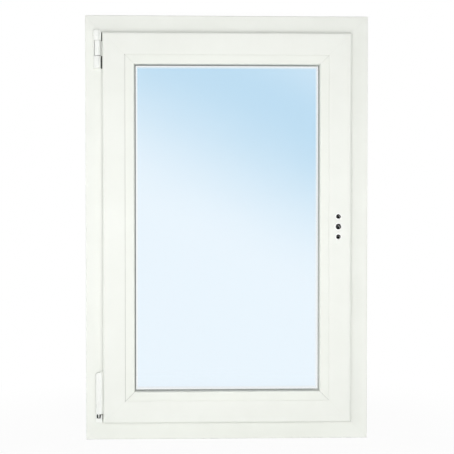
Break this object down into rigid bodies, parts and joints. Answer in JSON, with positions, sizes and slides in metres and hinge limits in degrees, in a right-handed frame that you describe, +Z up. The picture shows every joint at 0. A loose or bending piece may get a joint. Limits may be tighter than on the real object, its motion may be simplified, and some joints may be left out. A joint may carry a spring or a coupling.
{
  "type": "pvc tilt and turn window",
  "caption": "White PVC window with a single tilt-and-turn sash hinged on the left, double glazed, its handle not fitted.",
  "frame": {"origin": "middle of the outer frame's bottom face, centred on its width and depth", "axes": "+Z up, -Y towards the room, +Y towards the weather, hinges on -X and handle holes on +X"},
  "size_m": [0.6, 0.084, 0.9],
  "materials": {
    "white_pvc": "satin",
    "white_trim": "satin",
    "white_hardware": "satin",
    "seal_rubber": "matte",
    "edge_sealant": "matte",
    "clear_glass": "polished",
    "spacer_aluminium": "satin",
    "packer_plastic": "matte",
    "galvanised_steel": "galvanised",
    "plated_steel": "zinc plated"
  },
  "bodies": {
    "root": {"frame_left_jamb": "white_pvc", "frame_head": "white_pvc", "frame_right_jamb": "white_pvc", "frame_sill": "white_pvc", "sash_hinge_stile": "white_pvc", "sash_top_rail": "white_pvc", "sash_lock_stile": "white_pvc", "sash_bottom_rail": "white_pvc", "glazing_bead_left": "white_pvc", "glazing_bead_top": "white_pvc", "glazing_bead_right": "white_pvc", "glazing_bead_bottom": "white_pvc", "drain_caps": "white_trim", "frame_reinforcement": "galvanised_steel", "sash_reinforcement": "galvanised_steel", "overlap_gasket": "seal_rubber", "weather_gasket": "seal_rubber", "bead_gasket": "seal_rubber", "outer_gasket": "seal_rubber", "edge_seal": "edge_sealant", "glass_inner_pane": "clear_glass", "glass_outer_pane": "clear_glass", "spacer_bar": "spacer_aluminium", "glazing_packers": "packer_plastic", "gear_case": "plated_steel", "spindle_follower": "plated_steel", "lock_faceplate": "plated_steel", "locking_cams": "plated_steel", "striker_plates": "plated_steel", "top_hinge_bearing": "white_hardware", "top_hinge_cap": "white_trim", "top_hinge_knuckle": "white_hardware", "top_hinge_pin": "plated_steel", "stay_arm": "plated_steel", "bottom_hinge_band": "white_hardware", "bottom_hinge_cover": "white_trim", "bottom_hinge_pin": "plated_steel", "bottom_hinge_bearing": "white_hardware"}
  },
  "joints": []
}
